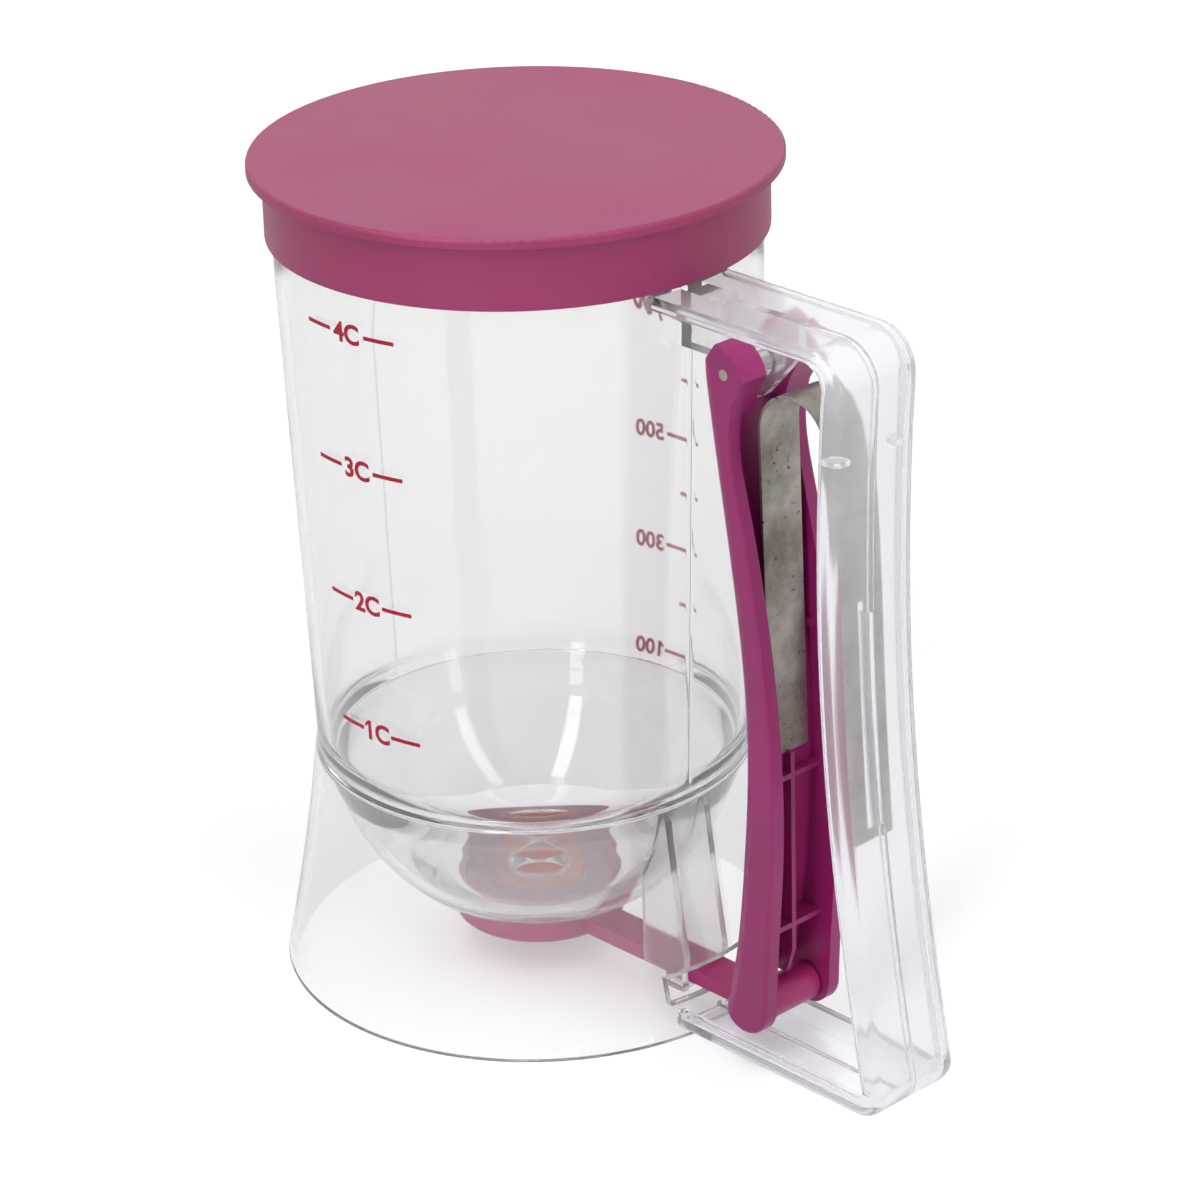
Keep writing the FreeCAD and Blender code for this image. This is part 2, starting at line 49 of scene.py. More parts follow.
def hexColour(text):
    # sRGB hex to linear RGBA
    parts = [int(text[i:i + 2], 16) / 255 for i in (1, 3, 5)]
    linear = [c / 12.92 if c <= 0.04045 else ((c + 0.055) / 1.055) ** 2.4 for c in parts]
    return (*linear, 1.0)


def addNode(tree, kind, settings=None, links=None):
    # settings: socket or attribute -> value; links: input socket -> (node, output name)
    node = tree.nodes.new(kind)
    for name, value in (settings or {}).items():
        if isinstance(name, int) or name in node.inputs:
            node.inputs[name].default_value = value
        else:
            setattr(node, name, value)
    for name, (source, output) in (links or {}).items():
        tree.links.new(source.outputs[output], node.inputs[name])
    return node


def newMaterial(name):
    material = bpy.data.materials.new(name)
    material.use_nodes = True
    material.node_tree.nodes.clear()
    return material, material.node_tree


def rampStops(node, stops):
    ramp = node.color_ramp
    while len(ramp.elements) < len(stops):
        ramp.elements.new(0.5)
    for element, (place, colour) in zip(ramp.elements, stops):
        element.position = place
        element.color = hexColour(colour) if isinstance(colour, str) else (colour,) * 3 + (1,)
    return node


def meshObject(name, verts, faces):
    mesh = bpy.data.meshes.new(name)
    mesh.from_pydata(verts, [], faces)
    mesh.validate()
    obj = bpy.data.objects.new(name, mesh)
    bpy.context.scene.collection.objects.link(obj)
    bm = bmesh.new()
    bm.from_mesh(mesh)
    bmesh.ops.remove_doubles(bm, verts=bm.verts, dist=1e-6)
    bmesh.ops.recalc_face_normals(bm, faces=bm.faces)
    bm.to_mesh(mesh)
    bm.free()
    return obj


def smooth(obj, angle):
    obj.data.shade_smooth()
    obj.data.set_sharp_from_angle(angle=math.radians(angle))


def paint(obj, material):
    obj.data.materials.clear()
    obj.data.materials.append(material)


def arcPoints(centerX, centerZ, radius, start, end, count):
    # angles in degrees from +X towards +Z
    turns = [math.radians(start + (end - start) * i / count) for i in range(count + 1)]
    return [(centerX + radius * math.cos(t), centerZ + radius * math.sin(t)) for t in turns]


def circlePoints(centerX, centerZ, radius, sides):
    return arcPoints(centerX, centerZ, radius, 0, 360 - 360 / sides, sides - 1)


def combine(obj, other, operation):
    modifier = obj.modifiers.new("join", "BOOLEAN")
    modifier.operation = operation
    modifier.solver = "EXACT"
    modifier.object = other
    graph = bpy.context.evaluated_depsgraph_get()
    mesh = bpy.data.meshes.new_from_object(obj.evaluated_get(graph))
    obj.modifiers.clear()
    old = obj.data
    obj.data = mesh
    bpy.data.meshes.remove(old)
    bpy.data.objects.remove(other)


def boxObject(name, low, high):
    xs, ys, zs = zip(low, high)
    verts = [(x * mm, y * mm, z * mm) for x in xs for y in ys for z in zs]
    faces = [(0, 1, 3, 2), (4, 6, 7, 5), (0, 4, 5, 1), (2, 3, 7, 6), (0, 2, 6, 4), (1, 5, 7, 3)]
    return meshObject(name, verts, faces)


def slab(name, outline, yFrom, yTo):
    # an outline in the grip's plane (x, z in mm), thickened from yFrom to yTo
    count = len(outline)
    verts = [(x * mm, y * mm, z * mm) for y in (yFrom, yTo) for x, z in outline]
    faces = [tuple(range(count)), tuple(range(2 * count - 1, count - 1, -1))]
    faces += [(i, (i + 1) % count, (i + 1) % count + count, i + count) for i in range(count)]
    return meshObject(name, verts, faces)


# Clear SAN, injection moulded: almost colourless, greyer where it is thick, with bright and
# dark edges, very slight waves left by the mould's flow, and a milky trace where it is handled
clearPlastic = {
    "tint": "#F4F4F4", "gripTint": "#F1F1F4", "roughness": 0.03, "gripRoughness": 0.12,
    "cupClear": 0.97, "gripClear": 0.89, "scuffClear": 0.10, "ior": 1.56,
    # where the looks change, in metres from the object's origin
    "gripFrom": 0.054, "gripFull": 0.060, "scuffFrom": 0.090, "scuffFull": 0.150,
    "scuffReach": (0.088, 0.096), "plateSide": (0.0066, 0.0072),
    "plateReach": (0.0385, 0.0397), "plateTop": (0.047, 0.050),
    "absorbColour": "#C4C2C5", "absorbDensity": 8.0,
    "waveMm": 24.0, "waveStrength": 0.05, "lampsThrough": 0.92,
}


def makeClearPlastic():
    look = clearPlastic
    material, tree = newMaterial("clearSanMoulded")
    place = addNode(tree, "ShaderNodeTexCoord")
    wave = addNode(tree, "ShaderNodeTexNoise",
                   {"Scale": 1 / (look["waveMm"] * mm), "Detail": 1.0, "Roughness": 0.4},
                   {"Vector": (place, "Object")})
    bump = addNode(tree, "ShaderNodeBump", {"Strength": look["waveStrength"], "Distance": 0.001},
                   {"Height": (wave, "Fac")})
    # the grip is handled: a little hazier than the polished cup
    axes = addNode(tree, "ShaderNodeSeparateXYZ", None, {"Vector": (place, "Object")})
    onGrip = addNode(tree, "ShaderNodeMapRange", {
        "From Min": look["gripFrom"], "From Max": look["gripFull"]}, {"Value": (axes, "X")})
    # the guide plates under the bowl are hazy too: no polished tool face reaches them
    offMiddle = addNode(tree, "ShaderNodeMath", {"operation": "ABSOLUTE"}, {0: (axes, "Y")})
    plateY = addNode(tree, "ShaderNodeMapRange", {
        "From Min": look["plateSide"][0], "From Max": look["plateSide"][1],
        "To Min": 1.0, "To Max": 0.0}, {"Value": (offMiddle, 0)})
    plateX = addNode(tree, "ShaderNodeMapRange", {
        "From Min": look["plateReach"][0], "From Max": look["plateReach"][1]},
        {"Value": (axes, "X")})
    plateZ = addNode(tree, "ShaderNodeMapRange", {
        "From Min": look["plateTop"][0], "From Max": look["plateTop"][1],
        "To Min": 1.0, "To Max": 0.0}, {"Value": (axes, "Z")})
    plateXY = addNode(tree, "ShaderNodeMath", {"operation": "MULTIPLY"},
                      {0: (plateX, "Result"), 1: (plateY, "Result")})
    onPlate = addNode(tree, "ShaderNodeMath", {"operation": "MULTIPLY"},
                      {0: (plateXY, 0), 1: (plateZ, "Result")})
    dull = addNode(tree, "ShaderNodeMath", {"operation": "MAXIMUM"},
                   {0: (onGrip, "Result"), 1: (onPlate, 0)})
    haze = addNode(tree, "ShaderNodeMapRange", {
        "To Min": look["roughness"], "To Max": look["gripRoughness"]}, {"Value": (dull, 0)})
    # scuffed at the top of the grip, where the web of the hand rubs
    scuffUp = addNode(tree, "ShaderNodeMapRange", {
        "From Min": look["scuffFrom"], "From Max": look["scuffFull"]}, {"Value": (axes, "Z")})
    scuffOut = addNode(tree, "ShaderNodeMapRange", {
        "From Min": look["scuffReach"][0], "From Max": look["scuffReach"][1]},
        {"Value": (axes, "X")})
    scuff = addNode(tree, "ShaderNodeMath", {"operation": "MULTIPLY"},
                    {0: (scuffUp, "Result"), 1: (scuffOut, "Result")})
    loss = addNode(tree, "ShaderNodeMath", {"operation": "MULTIPLY", 1: look["scuffClear"]},
                   {0: (scuff, 0)})
    plain = addNode(tree, "ShaderNodeMapRange", {
        "To Min": look["cupClear"], "To Max": look["gripClear"]}, {"Value": (dull, 0)})
    clearness = addNode(tree, "ShaderNodeMath", {"operation": "SUBTRACT"},
                        {0: (plain, "Result"), 1: (loss, 0)})
    tint = rampStops(addNode(tree, "ShaderNodeValToRGB", None, {"Fac": (onGrip, "Result")}),
                     [(0.0, look["tint"]), (1.0, look["gripTint"])])
    glass = addNode(tree, "ShaderNodeBsdfPrincipled", {"IOR": look["ior"]}, {
        "Base Color": (tint, "Color"), "Roughness": (haze, "Result"),
        "Transmission Weight": (clearness, 0), "Normal": (bump, "Normal")})
    clear = addNode(tree, "ShaderNodeBsdfTransparent", {
        "Color": (look["lampsThrough"],) * 3 + (1,)})
    path = addNode(tree, "ShaderNodeLightPath")
    mix = addNode(tree, "ShaderNodeMixShader", None, {
        0: (path, "Is Shadow Ray"), 1: (glass, "BSDF"), 2: (clear, "BSDF")})
    body = addNode(tree, "ShaderNodeVolumeAbsorption", {
        "Color": hexColour(look["absorbColour"]), "Density": look["absorbDensity"]})
    addNode(tree, "ShaderNodeOutputMaterial", None,
            {"Surface": (mix, "Shader"), "Volume": (body, "Volume")})
    return material


# Coloured plastics, injection moulded, with a fine tool grain that softens the highlight and
# faint clouds of handling. The polypropylene lid is satin, the ABS trigger glossier and bluer.
# The acetal valve's colour is painted a little brighter, as painted light that stands in for the
# light it loses under the clear bowl
lidPlastic = {
    "colour": "#A12F65", "shade": "#982A5E", "roughness": 0.4, "ior": 1.52,
    "grainMm": 0.5, "grainStrength": 0.10, "cloudMm": 35.0,
}
triggerPlastic = {
    "colour": "#9A2069", "shade": "#901C61", "roughness": 0.33, "ior": 1.5,
    "grainMm": 0.9, "grainStrength": 0.04, "cloudMm": 22.0,
}
# painted light: the valve's colour is brighter than the trigger's to make up for the light the
# clear bowl takes from it
valvePlasticPaintedBrighter = {
    "colour": "#A8226C", "shade": "#9C1D62", "roughness": 0.34, "ior": 1.5,
    "grainMm": 0.9, "grainStrength": 0.04, "cloudMm": 18.0,
}
# how far handling takes the roughness down and up
handling = {"polished": 0.05, "dulled": 0.06}


def makeColouredPlastic(name, look):
    material, tree = newMaterial(name)
    place = addNode(tree, "ShaderNodeTexCoord")
    cloud = addNode(tree, "ShaderNodeTexNoise",
                    {"Scale": 1 / (look["cloudMm"] * mm), "Detail": 4.0},
                    {"Vector": (place, "Object")})
    colour = rampStops(addNode(tree, "ShaderNodeValToRGB", None, {"Fac": (cloud, "Fac")}),
                       [(0.3, look["shade"]), (0.7, look["colour"])])
    grain = addNode(tree, "ShaderNodeTexNoise",
                    {"Scale": 1 / (look["grainMm"] * mm), "Detail": 2.0},
                    {"Vector": (place, "Object")})
    bump = addNode(tree, "ShaderNodeBump", {"Strength": look["grainStrength"],
                                            "Distance": 0.0002}, {"Height": (grain, "Fac")})
    rough = addNode(tree, "ShaderNodeMapRange", {
        "From Min": 0.3, "From Max": 0.7, "To Min": look["roughness"] - handling["polished"],
        "To Max": look["roughness"] + handling["dulled"]}, {"Value": (cloud, "Fac")})
    shader = addNode(tree, "ShaderNodeBsdfPrincipled", {"IOR": look["ior"]}, {
        "Base Color": (colour, "Color"), "Roughness": (rough, "Result"),
        "Normal": (bump, "Normal")})
    addNode(tree, "ShaderNodeOutputMaterial", None, {"Surface": (shader, "BSDF")})
    return material


# Stainless strip, cold rolled: fine lines along its length, grey-brown stains and dark
# specks from washing
rolledSteel = {
    "clean": "#B3ADA6", "stain": "#7F776F", "speck": "#4A413A", "roughness": 0.38,
    "lineMm": 0.35, "lineStretch": 24.0, "lineStrength": 0.12, "stainMm": 14.0,
    "speckMm": 1.6, "bright": 0.1, "dulled": 0.14,
}


def makeRolledSteel():
    look = rolledSteel
    material, tree = newMaterial("rolledStainlessStained")
    place = addNode(tree, "ShaderNodeTexCoord")
    along = addNode(tree, "ShaderNodeMapping", {"Scale": (1, 1, 1 / look["lineStretch"])},
                    {"Vector": (place, "Object")})
    lines = addNode(tree, "ShaderNodeTexNoise",
                    {"Scale": 1 / (look["lineMm"] * mm), "Detail": 2.0},
                    {"Vector": (along, "Vector")})
    stains = addNode(tree, "ShaderNodeTexNoise",
                     {"Scale": 1 / (look["stainMm"] * mm), "Detail": 6.0, "Roughness": 0.65},
                     {"Vector": (place, "Object")})
    specks = addNode(tree, "ShaderNodeTexNoise",
                     {"Scale": 1 / (look["speckMm"] * mm), "Detail": 3.0},
                     {"Vector": (place, "Object")})
    stainRamp = rampStops(addNode(tree, "ShaderNodeValToRGB", None, {"Fac": (stains, "Fac")}),
                          [(0.38, look["clean"]), (0.68, look["stain"])])
    speckMask = rampStops(addNode(tree, "ShaderNodeValToRGB", None, {"Fac": (specks, "Fac")}),
                          [(0.66, 0.0), (0.74, 1.0)])
    # the colour sockets of a Mix node share their names, so they go by number
    colour = addNode(tree, "ShaderNodeMix", {"data_type": "RGBA", 7: hexColour(look["speck"])},
                     {0: (speckMask, "Color"), 6: (stainRamp, "Color")})
    rough = addNode(tree, "ShaderNodeMapRange", {
        "To Min": look["roughness"] - look["bright"],
        "To Max": look["roughness"] + look["dulled"]}, {"Value": (stains, "Fac")})
    bump = addNode(tree, "ShaderNodeBump", {"Strength": look["lineStrength"],
                                            "Distance": 0.0001}, {"Height": (lines, "Fac")})
    shader = addNode(tree, "ShaderNodeBsdfPrincipled", {"Metallic": 1.0}, {
        "Base Color": (colour, 2), "Roughness": (rough, "Result"), "Normal": (bump, "Normal")})
    addNode(tree, "ShaderNodeOutputMaterial", None, {"Surface": (shader, "BSDF")})
    return material


# Silicone rubber, compression moulded: soft orange red with a dull, slightly dusty skin
siliconeLook = {
    "colour": "#C93A2E", "dust": "#D4604F", "roughness": 0.5, "ior": 1.41, "dustMm": 3.0,
    "dustStrength": 0.08,
}


def makeSilicone():
    look = siliconeLook
    material, tree = newMaterial("siliconeMoulded")
    place = addNode(tree, "ShaderNodeTexCoord")
    dust = addNode(tree, "ShaderNodeTexNoise",
                   {"Scale": 1 / (look["dustMm"] * mm), "Detail": 5.0},
                   {"Vector": (place, "Object")})
    colour = rampStops(addNode(tree, "ShaderNodeValToRGB", None, {"Fac": (dust, "Fac")}),
                       [(0.4, look["colour"]), (0.75, look["dust"])])
    bump = addNode(tree, "ShaderNodeBump", {"Strength": look["dustStrength"],
                                            "Distance": 0.0002}, {"Height": (dust, "Fac")})
    shader = addNode(tree, "ShaderNodeBsdfPrincipled", {
        "Roughness": look["roughness"], "IOR": look["ior"]}, {
        "Base Color": (colour, "Color"), "Normal": (bump, "Normal")})
    addNode(tree, "ShaderNodeOutputMaterial", None, {"Surface": (shader, "BSDF")})
    return material


# Pad-printed ink: flat red film, a little thinner in places so that it is not even, and
# some light comes through it from behind
inkLook = {
    "colour": "#CE1C42", "thin": "#D8375B", "roughness": 0.38, "ior": 1.5, "patchMm": 1.2,
    "through": 0.45,
}


def makeInk():
    look = inkLook
    material, tree = newMaterial("padPrintedInk")
    place = addNode(tree, "ShaderNodeTexCoord")
    patch = addNode(tree, "ShaderNodeTexNoise",
                    {"Scale": 1 / (look["patchMm"] * mm), "Detail": 3.0},
                    {"Vector": (place, "Object")})
    colour = rampStops(addNode(tree, "ShaderNodeValToRGB", None, {"Fac": (patch, "Fac")}),
                       [(0.45, look["colour"]), (0.72, look["thin"])])
    film = addNode(tree, "ShaderNodeBsdfPrincipled", {
        "Roughness": look["roughness"], "IOR": look["ior"]}, {"Base Color": (colour, "Color")})
    through = addNode(tree, "ShaderNodeBsdfTranslucent", None, {"Color": (colour, "Color")})
    shader = addNode(tree, "ShaderNodeMixShader", {0: look["through"]},
                     {1: (film, "BSDF"), 2: (through, "BSDF")})
    addNode(tree, "ShaderNodeOutputMaterial", None, {"Surface": (shader, "Shader")})
    return material


clearMaterial = makeClearPlastic()
lidMaterial = makeColouredPlastic("polypropyleneSatinMoulded", lidPlastic)
triggerMaterial = makeColouredPlastic("absGlossMoulded", triggerPlastic)
valveMaterialPaintedBrighter = makeColouredPlastic("acetalMouldedPaintedBrighter", valvePlasticPaintedBrighter)
steelMaterial = makeRolledSteel()
siliconeMaterial = makeSilicone()
inkMaterial = makeInk()
print("materials made")


cup = {
    "height": 186.9, "rimRadius": 52.4, "rimBand": 22.0, "waistHeight": 55.1,
    "waistRadius": 48.7, "baseRadius": 58.1, "wall": 2.0, "skirtWall": 2.2,
    "skirtHollow": 0.7, "ringHeight": 4.1, "bowlBottom": 14.6, "seatRadius": 21.9,
    "shoulder": 2.9, "bowlWall": 2.2, "floor": 5.4, "dishRadius": 20.5, "dishSlope": 3.2,
    "outlet": 7.0, "flowFrom": 59.5, "bowlFrom": 43.0,
    # its rounded corners
    "round": 0.8, "waistRound": 1.6, "dishRound": (1.0, 1.5), "outletRound": (0.8, 0.4),
    "innerRound": 0.5, "footRound": 0.7,
    # the mould's parting line: a low ridge down the wall, and its four edges in half widths
    "seamHalfWidth": 0.16, "seamHeight": 0.05, "seamSteps": (-1.4, -0.5, 0.5, 1.4),
    # how finely it is divided, and the edge angle from which it is shaded sharp
    "segments": 240, "bowlSteps": 22, "bowlInsideSteps": 20, "skirtSteps": 14,
    "flowSteps": 14, "wallHeights": (70, 90, 110, 130, 150), "sharpFrom": 28,
}
window = {"halfWidth": 12.5, "sill": 7.9, "top": 14.1, "inner": 50.5, "outer": 70.0}


def cupRadius(z):
    share = (z - cup["waistHeight"]) / (cup["height"] - cup["rimBand"] - cup["waistHeight"])
    return cup["waistRadius"] + (cup["rimRadius"] - cup["waistRadius"]) * min(1.0, share)


def skirtRadius(z):
    return cup["baseRadius"] + (cup["waistRadius"] - cup["baseRadius"]) * z / cup["waistHeight"]


ringBottom = cup["waistHeight"] - cup["ringHeight"]


def skirtSide(inset, steps):
    # (radius, z) down the flare, which sags a little inside a straight line
    top = skirtRadius(ringBottom) - inset
    bottom = cup["baseRadius"] - inset
    points = []
    for i in range(steps + 1):
        share = i / steps
        sag = cup["skirtHollow"] * 4 * share * (1 - share)
        points.append((top + (bottom - top) * share - sag, ringBottom * (1 - share)))
    return points


def bowlSide(inset, zFrom, zTo, steps):
    shoulder = cup["waistRadius"] - cup["shoulder"]
    low, high = cup["bowlBottom"], ringBottom
    center = (shoulder ** 2 - cup["seatRadius"] ** 2 + high ** 2 - low ** 2) / (2 * (high - low))
    radius = math.hypot(shoulder, high - center) - inset
    points = []
    for i in range(steps + 1):
        z = zFrom + (zTo - zFrom) * i / steps
        points.append((math.sqrt(radius ** 2 - (z - center) ** 2), z))
    return points


def roundCorners(points, corners, steps=4):
    # replaces the listed corners {index: radius} by small arcs of a quadratic curve
    made = []
    count = len(points)
    for i, point in enumerate(points):
        if i not in corners:
            made.append(point)
            continue
        here = Vector(point)
        before, after = Vector(points[i - 1]), Vector(points[(i + 1) % count])
        size = min(corners[i], (before - here).length * 0.45, (after - here).length * 0.45)
        start = here + (before - here).normalized() * size
        end = here + (after - here).normalized() * size
        for k in range(steps + 1):
            t = k / steps
            made.append(tuple(start * (1 - t) ** 2 + here * 2 * t * (1 - t) + end * t * t))
    return made


def lathe(name, profile, seamAt):
    # profile: closed ring of (radius, z) in mm; seamAt: the angles of the two ridges
    angles = [2 * math.pi * i / cup["segments"] for i in range(cup["segments"])]
    bumps = {}
    for center in seamAt:
        for step in cup["seamSteps"]:
            turn = (center + step * cup["seamHalfWidth"] / cup["rimRadius"]) % (2 * math.pi)
            angles = [a for a in angles if abs(a - turn) > 1e-3 or a in bumps]
            angles.append(turn)
            bumps[turn] = cup["seamHeight"] if abs(step) < 1 else 0.0
    angles.sort()
    verts, faces = [], []
    rows = len(profile)
    for turn in angles:
        for r, z in profile:
            out = bumps.get(turn, 0.0) if isOutside(r, z) else 0.0
            verts.append(((r + out) * math.cos(turn) * mm, (r + out) * math.sin(turn) * mm, z * mm))
    for j in range(len(angles)):
        k = (j + 1) % len(angles)
        for i in range(rows):
            n = (i + 1) % rows
            faces.append((j * rows + i, k * rows + i, k * rows + n, j * rows + n))
    return meshObject(name, verts, faces)


def isOutside(r, z):
    return cup["waistHeight"] < z < cup["height"] - 1 and r > cupRadius(z) - 0.1


def innerFlow(top, foot, below):
    # the cup's wall runs into the bowl without an edge: (radius, z) along a smooth bend
    slope = (foot[0] - below[0]) / (foot[1] - below[1])
    height = top[1] - foot[1]
    points = []
    for i in range(cup["flowSteps"]):
        t = i / cup["flowSteps"]
        start, end = 2 * t ** 3 - 3 * t ** 2 + 1, 3 * t ** 2 - 2 * t ** 3
        leave = (t ** 3 - t ** 2) * -slope * height
        points.append((top[0] * start + foot[0] * end + leave, top[1] - height * t))
    return points


def cupProfile():
    wall = cup["wall"]
    bandStart = cup["height"] - cup["rimBand"]
    floorTop = cup["bowlBottom"] + cup["floor"]
    outside = [(cup["waistRadius"], cup["waistHeight"])]
    outside += [(cupRadius(z), z) for z in (*cup["wallHeights"], bandStart)]
    outside += [(cup["rimRadius"], cup["height"]), (cup["rimRadius"] - wall, cup["height"])]
    inside = [(cupRadius(z) - wall, z) for z in (bandStart, *reversed(cup["wallHeights"]))]
    bowlIn = bowlSide(cup["bowlWall"], cup["bowlFrom"], floorTop + cup["dishSlope"],
                      cup["bowlInsideSteps"])
    inside += innerFlow((cup["waistRadius"] - wall, cup["flowFrom"]), bowlIn[0], bowlIn[1])
    dish = [(cup["dishRadius"], floorTop), (cup["outlet"], floorTop),
            (cup["outlet"], cup["bowlBottom"])]
    bowlOut = bowlSide(0, cup["bowlBottom"], ringBottom, cup["bowlSteps"])
    skirtIn = skirtSide(cup["skirtWall"], cup["skirtSteps"])
    skirtOut = list(reversed(skirtSide(0, cup["skirtSteps"])))
    profile = outside + inside + bowlIn + dish + bowlOut + skirtIn + skirtOut
    rim = len(outside)
    dishAt = rim + len(inside) + len(bowlIn)
    skirtAt = dishAt + len(dish) + len(bowlOut)
    footAt = skirtAt + len(skirtIn)
    corners = {0: cup["waistRound"], rim - 2: cup["round"], rim - 1: cup["round"],
               dishAt - 1: cup["dishRound"][0], dishAt: cup["dishRound"][1],
               dishAt + 1: cup["outletRound"][0], dishAt + 2: cup["outletRound"][1],
               dishAt + 3: cup["innerRound"], skirtAt - 1: cup["innerRound"],
               skirtAt: cup["innerRound"], footAt - 1: cup["footRound"],
               footAt: cup["footRound"]}
    return roundCorners(profile, corners)


# the grip: a channel that opens inwards, swept along its C from the cup to the skirt
grip = {
    "halfWidth": 11.8, "wall": 2.0, "top": 172.0, "foot": 2.2, "topDepth": 2.9,
    "barDepth": 5.2, "footDepth": 5.0, "reach": 105.0, "waist": 103.7, "swell": (105.9, 110.1),
    "heel": 116.0, "shares": (0.0, 0.28, 0.56, 0.78, 1.0), "topCorner": 9.5, "heelCorner": 7.0,
    "rootTop": 50.75, "rootFoot": 55.9, "backRound": 2.7, "insideRound": 1.5, "lipRound": 0.45,
    "spineHalf": 0.65, "spineHeight": 0.8, "spineRound": 0.3, "spineFoot": 0.7,
    "armSteps": 16, "cornerSteps": 14, "barSteps": 60,
}


def barReach(z):
    # the back of the bar: a smooth curve through its five reaches
    top = grip["top"] - grip["topCorner"]
    heel = grip["foot"] + grip["heelCorner"]
    share = (top - z) / (top - heel)
    reaches = (grip["reach"], grip["waist"], *grip["swell"], grip["heel"])
    total = 0.0
    for i, xi in enumerate(grip["shares"]):
        term = reaches[i]
        for j, xj in enumerate(grip["shares"]):
            if j != i:
                term *= (share - xj) / (xi - xj)
        total += term
    return total


def gripStations():
    # (x, z, depth) along the C's outside
    top, foot = grip["top"], grip["foot"]
    upper = top - grip["topCorner"]
    lower = foot + grip["heelCorner"]
    cornerX = grip["reach"] - grip["topCorner"]
    heelX = grip["heel"] - grip["heelCorner"]
    stations = []
    arm, turn, bar = grip["armSteps"], grip["cornerSteps"], grip["barSteps"]
    deeper = grip["barDepth"] - grip["topDepth"]
    shallower = grip["footDepth"] - grip["barDepth"]
    for i in range(arm):
        stations.append((grip["rootTop"] + (cornerX - grip["rootTop"]) * i / arm, top,
                         grip["topDepth"]))
    for i, (x, z) in enumerate(arcPoints(cornerX, upper, grip["topCorner"], 90, 0, turn)):
        stations.append((x, z, grip["topDepth"] + deeper * i / turn))
    for i in range(1, bar):
        z = upper + (lower - upper) * i / bar
        stations.append((barReach(z), z, grip["barDepth"]))
    for i, (x, z) in enumerate(arcPoints(heelX, lower, grip["heelCorner"], 0, -90, turn)):
        stations.append((x, z, grip["barDepth"] + shallower * i / turn))
    for i in range(1, arm + 1):
        stations.append((heelX + (grip["rootFoot"] - heelX) * i / arm, foot, grip["footDepth"]))
    return stations


def channelSection(depth):
    # closed ring of (y, depth below the outside) with rounded corners
    half, wall = grip["halfWidth"], grip["wall"]
    spine, rise = grip["spineHalf"], grip["spineHeight"]
    right = [(spine, wall + rise), (spine, wall), (half - wall, wall), (half - wall, depth),
             (half, depth), (half, 0.0)]
    left = [(-y, d) for y, d in reversed(right)]
    back, lip, inner = grip["backRound"], grip["lipRound"], grip["insideRound"]
    crest, root = grip["spineRound"], grip["spineFoot"]
    corners = {0: crest, 1: root, 2: inner, 3: lip, 4: lip, 5: back,
               6: back, 7: lip, 8: lip, 9: inner, 10: root, 11: crest}
    return roundCorners(right + left, corners, 5)


def makeGrip():
    stations = gripStations()
    verts, faces = [], []
    rows = len(channelSection(grip["barDepth"]))
    for i, (x, z, depth) in enumerate(stations):
        before = stations[max(0, i - 1)]
        after = stations[min(len(stations) - 1, i + 1)]
        along = Vector((after[0] - before[0], after[1] - before[1])).normalized()
        out = Vector((-along.y, along.x))
        for y, d in channelSection(depth):
            verts.append(((x - out.x * d) * mm, y * mm, (z - out.y * d) * mm))
    for i in range(len(stations) - 1):
        for k in range(rows):
            n = (k + 1) % rows
            faces.append((i * rows + k, i * rows + n, (i + 1) * rows + n, (i + 1) * rows + k))
    last = (len(stations) - 1) * rows
    faces.append(tuple(range(rows - 1, -1, -1)))
    faces.append(tuple(range(last, last + rows)))
    return meshObject("gripSweep", verts, faces)


# the lug that the trigger hangs from, and the tall stretch of the spine
lug = {
    "pivot": (72.9, 160.5), "rootHalf": 3.0, "webHalf": 1.05, "rootBack": 10.1,
    "rootDepth": 11.0, "noseBack": 3.8, "noseDrop": 8.2, "reach": 11.1, "endRise": 4.6,
    "step": 2.6, "stepRise": 1.2, "barrel": 3.4, "barrelHalf": 4.15, "barrelSides": 48,
    "bore": 1.25, "boreSides": 24, "sink": 0.5, "start": 50.9,
    "corners": {2: 2.0, 3: 2.0, 4: 2.5, 5: 1.5, 6: 1.0},
    "tongueHeight": 2.6, "tongueTop": 113.0, "tongueBottom": 65.5, "tongueSink": 1.0,
    "tongueSteps": 10,
}


def makeLug(body):
    x, z = lug["pivot"]
    ceiling = grip["top"] - grip["wall"] + lug["sink"]
    under = grip["top"] - grip["wall"] - lug["rootDepth"]
    end = x + lug["reach"]
    rootEnd = x - lug["rootBack"]
    start = lug["start"]
    web = [(start, ceiling), (start, under), (rootEnd, under),
           (x - lug["noseBack"], z - lug["noseDrop"]), (x, z - lug["noseDrop"]),
           (end - lug["step"], z + lug["stepRise"]), (end, z + lug["endRise"]), (end, ceiling)]
    web = roundCorners(web, lug["corners"])
    # a hair off the web's faces, so that the exact boolean meets no faces in one plane
    root = [(start, ceiling - 0.1), (start, under - 0.05), (rootEnd, under - 0.05),
            (rootEnd, ceiling - 0.1)]
    combine(body, slab("lugWeb", web, -lug["webHalf"], lug["webHalf"]), "UNION")
    combine(body, slab("lugRoot", root, -lug["rootHalf"], lug["rootHalf"]), "UNION")
    barrel = circlePoints(x, z, lug["barrel"], lug["barrelSides"])
    combine(body, slab("lugBarrel", barrel, -lug["barrelHalf"], lug["barrelHalf"]), "UNION")
    bore = circlePoints(x, z, lug["bore"], lug["boreSides"])
    combine(body, slab("lugBore", bore, -grip["halfWidth"], grip["halfWidth"]), "DIFFERENCE")


